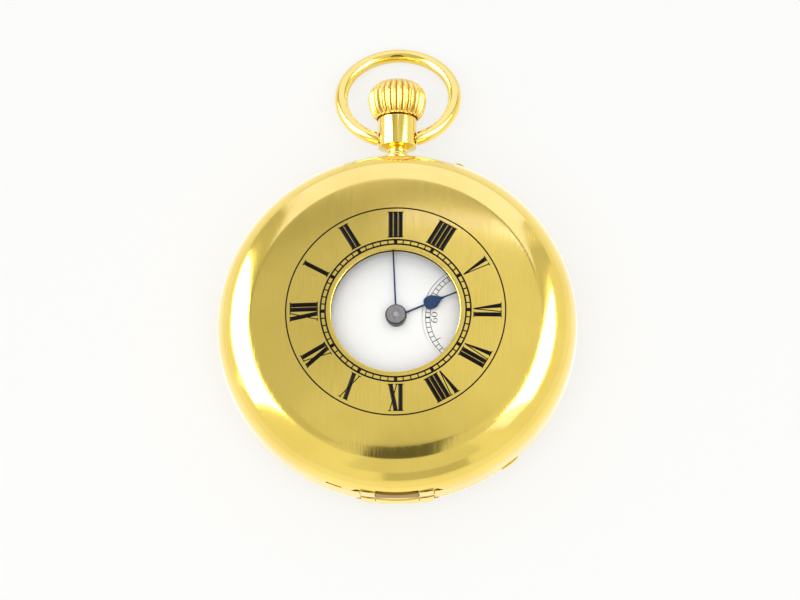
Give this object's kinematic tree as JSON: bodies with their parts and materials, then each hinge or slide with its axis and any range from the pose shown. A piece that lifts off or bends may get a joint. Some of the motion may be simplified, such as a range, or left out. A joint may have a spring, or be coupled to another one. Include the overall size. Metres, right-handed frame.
{
  "type": "half hunter pocket watch",
  "caption": "Open-dial hunter pocket watch with a windowed hinged front cover, fluted crown, bow, and a complete keyless lever movement.",
  "frame": {"origin": "centre of the small flat in the middle of the back cover's outside", "axes": "+Z out of the dial, +Y towards the pendant and crown, +X towards six o'clock on the dial"},
  "size_m": [0.05, 0.0687, 0.0142],
  "materials": {
    "gold": "polished yellow gold with fine wear",
    "steel": "fine ground",
    "gilt_brass": "frosted gilt",
    "blued_steel": "blued and polished",
    "enamel": "fired white enamel",
    "glass": "clear polished",
    "ruby": "polished ruby"
  },
  "bodies": {
    "case": {"case_middle": "gold", "pendant": "gold", "bezel": "gold", "dial_glass": "glass", "hinge_pins": "gold", "lift_spring": "steel", "pin_guard": "gold", "case_screws": "steel", "crown_wheel_screw": "steel", "click_screw": "steel", "click_spring": "steel", "main_plate": "gilt_brass", "barrel_bridge": "gilt_brass", "train_bridge": "gilt_brass", "balance_cock": "gilt_brass", "pallet_cock": "gilt_brass", "jewels": "ruby", "bridge_screws": "steel", "dial": "enamel", "seconds_dial": "enamel", "dial_feet": "gilt_brass"},
    "lid": {"front_lid": "gold", "lid_glass": "glass", "lid_glass_ring": "gold"},
    "back": {"back_cover": "gold"},
    "cuvette": {"cuvette": "gold"},
    "bow": {"bow": "gold"},
    "winding_pinion": {"winding_pinion": "steel"},
    "crown": {"crown": "gold", "winding_stem": "steel"},
    "sliding_pinion": {"sliding_pinion": "steel"},
    "lid_catch": {"lid_catch": "steel"},
    "set_pin": {"set_pin": "gold"},
    "setting_lever": {"setting_lever": "steel"},
    "crown_wheel": {"crown_wheel": "steel"},
    "ratchet": {"ratchet_wheel": "steel", "ratchet_screw": "steel", "barrel_arbor": "steel"},
    "click": {"click": "steel"},
    "barrel": {"barrel": "gilt_brass", "barrel_cover": "gilt_brass", "mainspring": "steel"},
    "centre": {"centre_wheel": "gilt_brass", "cannon_pinion": "steel", "minute_hand": "blued_steel"},
    "hour": {"hour_wheel": "gilt_brass", "hour_hand": "blued_steel"},
    "minute_wheel": {"minute_wheel": "gilt_brass"},
    "setting_wheel": {"setting_wheel": "steel"},
    "third": {"third_wheel": "gilt_brass"},
    "seconds": {"fourth_wheel": "gilt_brass", "seconds_hand": "blued_steel"},
    "escape": {"escape_wheel": "steel"},
    "pallets": {"pallet_lever": "steel", "pallet_stones": "ruby"},
    "balance": {"balance_wheel": "gilt_brass", "balance_staff": "steel", "roller": "steel", "hairspring": "blued_steel"},
    "regulator": {"regulator": "steel"}
  },
  "joints": [
    {"name": "lid_hinge", "type": "hinge", "parent": "case", "child": "lid", "pos_m": [0, -0.02442, 0.0075], "axis": [1, 0, 0], "range_deg": [0, 95]},
    {"name": "back_hinge", "type": "hinge", "parent": "case", "child": "back", "pos_m": [0, -0.02442, 0.0051], "axis": [-1, 0, 0], "range_deg": [0, 100]},
    {"name": "cuvette_hinge", "type": "hinge", "parent": "case", "child": "cuvette", "pos_m": [0, -0.0229, 0.004], "axis": [-1, 0, 0], "range_deg": [0, 86]},
    {"name": "bow_swing", "type": "hinge", "parent": "case", "child": "bow", "pos_m": [0, 0.02825, 0.0063], "axis": [1, 0, 0], "range_deg": [-108, 148]},
    {"name": "crown_turn", "type": "hinge", "parent": "case", "child": "winding_pinion", "pos_m": [0, 0, 0.0063], "axis": [0, 1, 0], "continuous": true},
    {"name": "crown_press", "type": "slide", "parent": "winding_pinion", "child": "crown", "axis": [0, -1, 0], "range_m": [0, 0.00065], "stiffness_N_per_m": 4000, "springref_m": -0.0003},
    {"name": "clutch_slide", "type": "slide", "parent": "winding_pinion", "child": "sliding_pinion", "axis": [0, -1, 0], "range_m": [0, 0.0006]},
    {"name": "lid_catch_slide", "type": "slide", "parent": "case", "child": "lid_catch", "axis": [0, -1, 0], "range_m": [0, 0.00065]},
    {"name": "pin_set", "type": "slide", "parent": "case", "child": "set_pin", "axis": [-0.342, -0.9397, 0], "range_m": [0, 0.00043], "stiffness_N_per_m": 3000, "springref_m": -0.0003},
    {"name": "setting_lever_turn", "type": "hinge", "parent": "case", "child": "setting_lever", "pos_m": [0.0126, 0.0116, 0.0063], "axis": [0, 0, 1], "range_deg": [0, 3.2]},
    {"name": "crown_wheel_turn", "type": "hinge", "parent": "case", "child": "crown_wheel", "pos_m": [0, 0.00935, 0.004], "axis": [0, 0, 1], "continuous": true},
    {"name": "ratchet_turn", "type": "hinge", "parent": "case", "child": "ratchet", "pos_m": [-0.0082, 0.0032, 0.004], "axis": [0, 0, 1], "continuous": true},
    {"name": "click_turn", "type": "hinge", "parent": "case", "child": "click", "pos_m": [-0.0153, 0.0006, 0.004], "axis": [0, 0, 1], "range_deg": [0, 12], "stiffness_Nm_per_rad": 0.001, "springref_deg": -5.73},
    {"name": "seconds_turn", "type": "hinge", "parent": "case", "child": "seconds", "pos_m": [0.01135, 0, 0.008], "axis": [0, 0, -1], "continuous": true},
    {"name": "third_turn", "type": "hinge", "parent": "case", "child": "third", "pos_m": [0.0062, -0.00185, 0.006], "axis": [0, 0, -1], "continuous": true},
    {"name": "centre_turn", "type": "hinge", "parent": "case", "child": "centre", "pos_m": [0, 0, 0.008], "axis": [0, 0, -1], "continuous": true},
    {"name": "barrel_turn", "type": "hinge", "parent": "case", "child": "barrel", "pos_m": [-0.0082, 0.0032, 0.006], "axis": [0, 0, -1], "continuous": true},
    {"name": "minute_wheel_turn", "type": "hinge", "parent": "case", "child": "minute_wheel", "pos_m": [0, 0.0039, 0.009], "axis": [0, 0, -1], "continuous": true},
    {"name": "hour_turn", "type": "hinge", "parent": "case", "child": "hour", "pos_m": [0, 0, 0.009], "axis": [0, 0, -1], "continuous": true},
    {"name": "setting_wheel_turn", "type": "hinge", "parent": "case", "child": "setting_wheel", "pos_m": [0, 0.00845, 0.009], "axis": [0, 0, -1], "continuous": true},
    {"name": "escape_turn", "type": "hinge", "parent": "case", "child": "escape", "pos_m": [0.01095, -0.0049, 0.006], "axis": [0, 0, -1], "continuous": true},
    {"name": "pallet_turn", "type": "hinge", "parent": "case", "child": "pallets", "pos_m": [0.00796, -0.00708, 0.006], "axis": [0, 0, 1], "range_deg": [-3, 3]},
    {"name": "balance_turn", "type": "hinge", "parent": "case", "child": "balance", "pos_m": [0.0008, -0.0123, 0.0053], "axis": [0, 0, 1], "range_deg": [-270, 270], "stiffness_Nm_per_rad": 0.0000018},
    {"name": "regulator_turn", "type": "hinge", "parent": "case", "child": "regulator", "pos_m": [0.0008, -0.0123, 0.0033], "axis": [0, 0, 1], "range_deg": [-15, 15]}
  ],
  "couplings": [
    {"joint": "cuvette_hinge", "follows": "back_hinge", "ratio": 0.85},
    {"joint": "lid_catch_slide", "follows": "crown_press", "ratio": 1},
    {"joint": "setting_lever_turn", "follows": "pin_set", "rad_per_m": 127.02},
    {"joint": "clutch_slide", "follows": "pin_set", "ratio": 1.3845},
    {"joint": "crown_wheel_turn", "follows": "crown_turn", "ratio": 0.57143},
    {"joint": "ratchet_turn", "follows": "crown_turn", "ratio": -0.44444},
    {"joint": "third_turn", "follows": "seconds_turn", "ratio": -0.13333},
    {"joint": "centre_turn", "follows": "seconds_turn", "ratio": 0.016667},
    {"joint": "barrel_turn", "follows": "seconds_turn", "ratio": -0.0027778},
    {"joint": "minute_wheel_turn", "follows": "seconds_turn", "ratio": -0.0055556},
    {"joint": "hour_turn", "follows": "seconds_turn", "ratio": 0.0013889},
    {"joint": "setting_wheel_turn", "follows": "seconds_turn", "ratio": 0.01},
    {"joint": "escape_turn", "follows": "seconds_turn", "ratio": -10}
  ]
}
